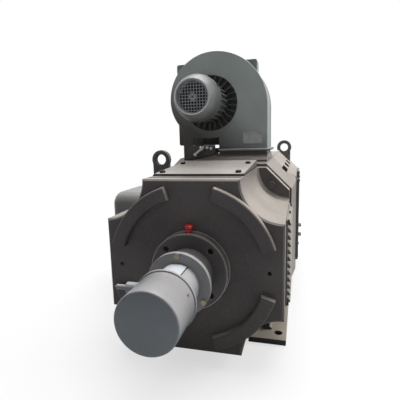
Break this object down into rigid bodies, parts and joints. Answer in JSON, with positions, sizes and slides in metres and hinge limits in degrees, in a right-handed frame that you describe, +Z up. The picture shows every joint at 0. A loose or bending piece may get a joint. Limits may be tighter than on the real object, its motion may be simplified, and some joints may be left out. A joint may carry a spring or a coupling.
{
  "type": "dc motor",
  "caption": "Foot-mounted direct-current motor, octagonal frame, tachogenerator on the commutator end, side terminal box and a separately driven radial blower on top.",
  "frame": {"origin": "centre of the four foot holes, on the plane the feet stand on", "axes": "+X to the right seen from the commutator end, +Y along the shaft towards the drive end, +Z up"},
  "size_m": [0.5305, 1.1912, 0.6715],
  "materials": {
    "motor_paint": "grey machine paint",
    "cover_paint": "light grey machine paint",
    "box_paint": "grey machine paint",
    "foot_paint": "dark grey machine paint",
    "blower_paint": "grey-green machine paint",
    "fan_metal": "cast, unpainted",
    "sheet_metal": "galvanised sheet",
    "bolt_steel": "zinc plated",
    "black_steel": "blackened",
    "yellow_zinc": "yellow passivated",
    "red_plastic": "moulded",
    "tacho_metal": "turned",
    "tacho_plastic": "satin grey",
    "machined_steel": "ground",
    "bearing_steel": "polished",
    "lamination": "stacked sheet",
    "copper": "bare copper",
    "winding": "varnished winding",
    "carbon": "pressed carbon",
    "brush_gear": "cast",
    "insulation": "moulded"
  },
  "bodies": {
    "stator": {"nde_bell": "motor_paint", "top_cover": "motor_paint", "nde_bearing_cover": "motor_paint", "yoke": "motor_paint", "de_shield": "motor_paint", "de_bearing_cover": "motor_paint", "yoke_cover": "motor_paint", "tacho_adapter": "motor_paint", "lifting_eye_front": "motor_paint", "lifting_eye_rear": "motor_paint", "louvre_cover_right": "cover_paint", "louvre_cover_left": "cover_paint", "terminal_box": "box_paint", "terminal_lid": "box_paint", "foot_left": "foot_paint", "foot_right": "foot_paint", "blower_front_plate": "blower_paint", "blower_wrapper": "blower_paint", "blower_back_plate": "blower_paint", "blower_base": "blower_paint", "filter_box": "blower_paint", "fan_motor_flange": "fan_metal", "fan_motor_body": "fan_metal", "fan_cowl": "sheet_metal", "grease_nipple": "bolt_steel", "cable_gland": "bolt_steel", "lug_bolts": "black_steel", "bearing_cover_bolts": "black_steel", "tacho_screws": "yellow_zinc", "grease_cap": "red_plastic", "tacho_body": "tacho_metal", "tacho_connector": "tacho_metal", "tacho_cap": "tacho_plastic", "nde_bearing_outer": "bearing_steel", "de_bearing_outer": "bearing_steel", "main_poles": "lamination", "interpoles": "lamination", "interpole_coils": "copper", "field_coils": "winding", "brush_holders": "brush_gear", "brush_rocker": "insulation", "terminal_board": "insulation"},
    "rotor": {"shaft": "machined_steel", "armature_core": "lamination", "armature_winding": "winding", "commutator": "copper", "nde_bearing_inner": "bearing_steel", "de_bearing_inner": "bearing_steel", "bearing_balls": "bearing_steel", "tacho_rotor": "machined_steel"},
    "fan_rotor": {"fan_shaft": "machined_steel", "impeller": "sheet_metal", "cooling_fan": "insulation"},
    "brush_1": {"brush_1": "carbon"},
    "brush_2": {"brush_2": "carbon"},
    "brush_3": {"brush_3": "carbon"},
    "brush_4": {"brush_4": "carbon"}
  },
  "joints": [
    {"name": "rotor_spin", "type": "hinge", "parent": "stator", "child": "rotor", "pos_m": [0, 0, 0.2], "axis": [0, 1, 0], "continuous": true},
    {"name": "fan_spin", "type": "hinge", "parent": "stator", "child": "fan_rotor", "pos_m": [-0.034, 0, 0.541], "axis": [0, 1, 0], "continuous": true},
    {"name": "brush_1_slide", "type": "slide", "parent": "stator", "child": "brush_1", "axis": [0.7071, 0, 0.7071], "range_m": [0, 0.012], "stiffness_N_per_m": 500, "springref_m": -0.02},
    {"name": "brush_2_slide", "type": "slide", "parent": "stator", "child": "brush_2", "axis": [0.7071, 0, -0.7071], "range_m": [0, 0.012], "stiffness_N_per_m": 500, "springref_m": -0.02},
    {"name": "brush_3_slide", "type": "slide", "parent": "stator", "child": "brush_3", "axis": [-0.7071, 0, -0.7071], "range_m": [0, 0.012], "stiffness_N_per_m": 500, "springref_m": -0.02},
    {"name": "brush_4_slide", "type": "slide", "parent": "stator", "child": "brush_4", "axis": [-0.7071, 0, 0.7071], "range_m": [0, 0.012], "stiffness_N_per_m": 500, "springref_m": -0.02}
  ]
}
